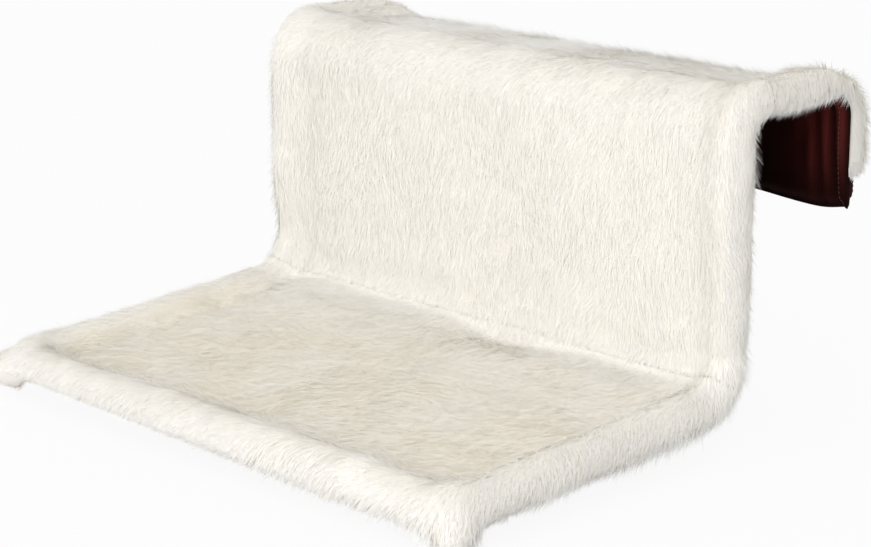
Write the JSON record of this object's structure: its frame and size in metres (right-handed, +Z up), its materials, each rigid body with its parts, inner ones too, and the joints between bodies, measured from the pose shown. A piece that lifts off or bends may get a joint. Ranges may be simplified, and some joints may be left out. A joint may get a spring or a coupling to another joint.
{
  "type": "radiator cat hammock",
  "caption": "Cat hammock that hooks over a radiator: a bent steel tube frame inside a zipped plush cover with a suede lining.",
  "frame": {"origin": "middle of the flat underside of the cover that lies on top of the radiator", "axes": "+X across the bed, +Y from the room towards the wall, +Z up"},
  "size_m": [0.476, 0.4236, 0.254],
  "materials": {
    "cream_plush": "long pile plush",
    "brown_suede": "brushed suede cloth",
    "white_wadding": "bonded fibre",
    "brown_tape": "woven tape",
    "brown_coil": "moulded",
    "zip_metal": "antique lacquer",
    "powder_coated_steel": "powder coat",
    "zinc_steel": "zinc plated",
    "nickel_brass": "nickel plated, knurled",
    "grey_nylon": "moulded"
  },
  "bodies": {
    "frame": {"side_tube_left": "powder_coated_steel", "side_tube_right": "powder_coated_steel", "slide_bush_left": "grey_nylon", "slide_bush_right": "grey_nylon", "joint_spigot_left": "zinc_steel", "joint_spigot_right": "zinc_steel", "front_bow": "powder_coated_steel", "cross_tube": "powder_coated_steel", "cross_plugs": "zinc_steel", "cross_screws": "zinc_steel", "lock_nuts": "zinc_steel", "back_sleeve_left": "cream_plush", "back_sleeve_right": "cream_plush", "bed_sleeve_left": "cream_plush", "bed_sleeve_right": "cream_plush", "front_sleeve": "cream_plush", "back_panel": "cream_plush", "bed_panel": "cream_plush", "bed_wadding": "white_wadding", "bed_lining": "brown_suede", "back_lining": "brown_suede", "arch_plush": "cream_plush", "arch_lining": "brown_suede", "zip_tapes": "brown_tape", "zip_coils": "brown_coil", "zip_stops": "zip_metal"},
    "hook": {"hook_bow": "powder_coated_steel", "hook_glides": "grey_nylon", "hook_plush": "cream_plush", "hook_lining": "brown_suede"},
    "lock_screw_left": {"lock_screw_left": "nickel_brass"},
    "lock_screw_right": {"lock_screw_right": "nickel_brass"},
    "zip_slider": {"zip_slider": "zip_metal"},
    "zip_pull": {"zip_pull": "zip_metal"}
  },
  "joints": [
    {"name": "hook_depth", "type": "slide", "parent": "frame", "child": "hook", "axis": [0, 1, 0], "range_m": [-0.025, 0.005], "deforming": ["arch_plush", "arch_lining"]},
    {"name": "lock_turn_left", "type": "hinge", "parent": "frame", "child": "lock_screw_left", "pos_m": [-0.2105, -0.0015, 0.0078], "axis": [1, 0, 0], "range_deg": [0, 360]},
    {"name": "lock_turn_right", "type": "hinge", "parent": "frame", "child": "lock_screw_right", "pos_m": [0.2105, -0.0015, 0.0078], "axis": [-1, 0, 0], "range_deg": [0, 360]},
    {"name": "zip_run", "type": "slide", "parent": "frame", "child": "zip_slider", "axis": [1, 0, 0], "range_m": [0, 0.348]},
    {"name": "zip_pull_swing", "type": "hinge", "parent": "zip_slider", "child": "zip_pull", "pos_m": [-0.1742, -0.12271, -0.20817], "axis": [0, 0.9985, 0.055], "range_deg": [-75, 75]}
  ]
}
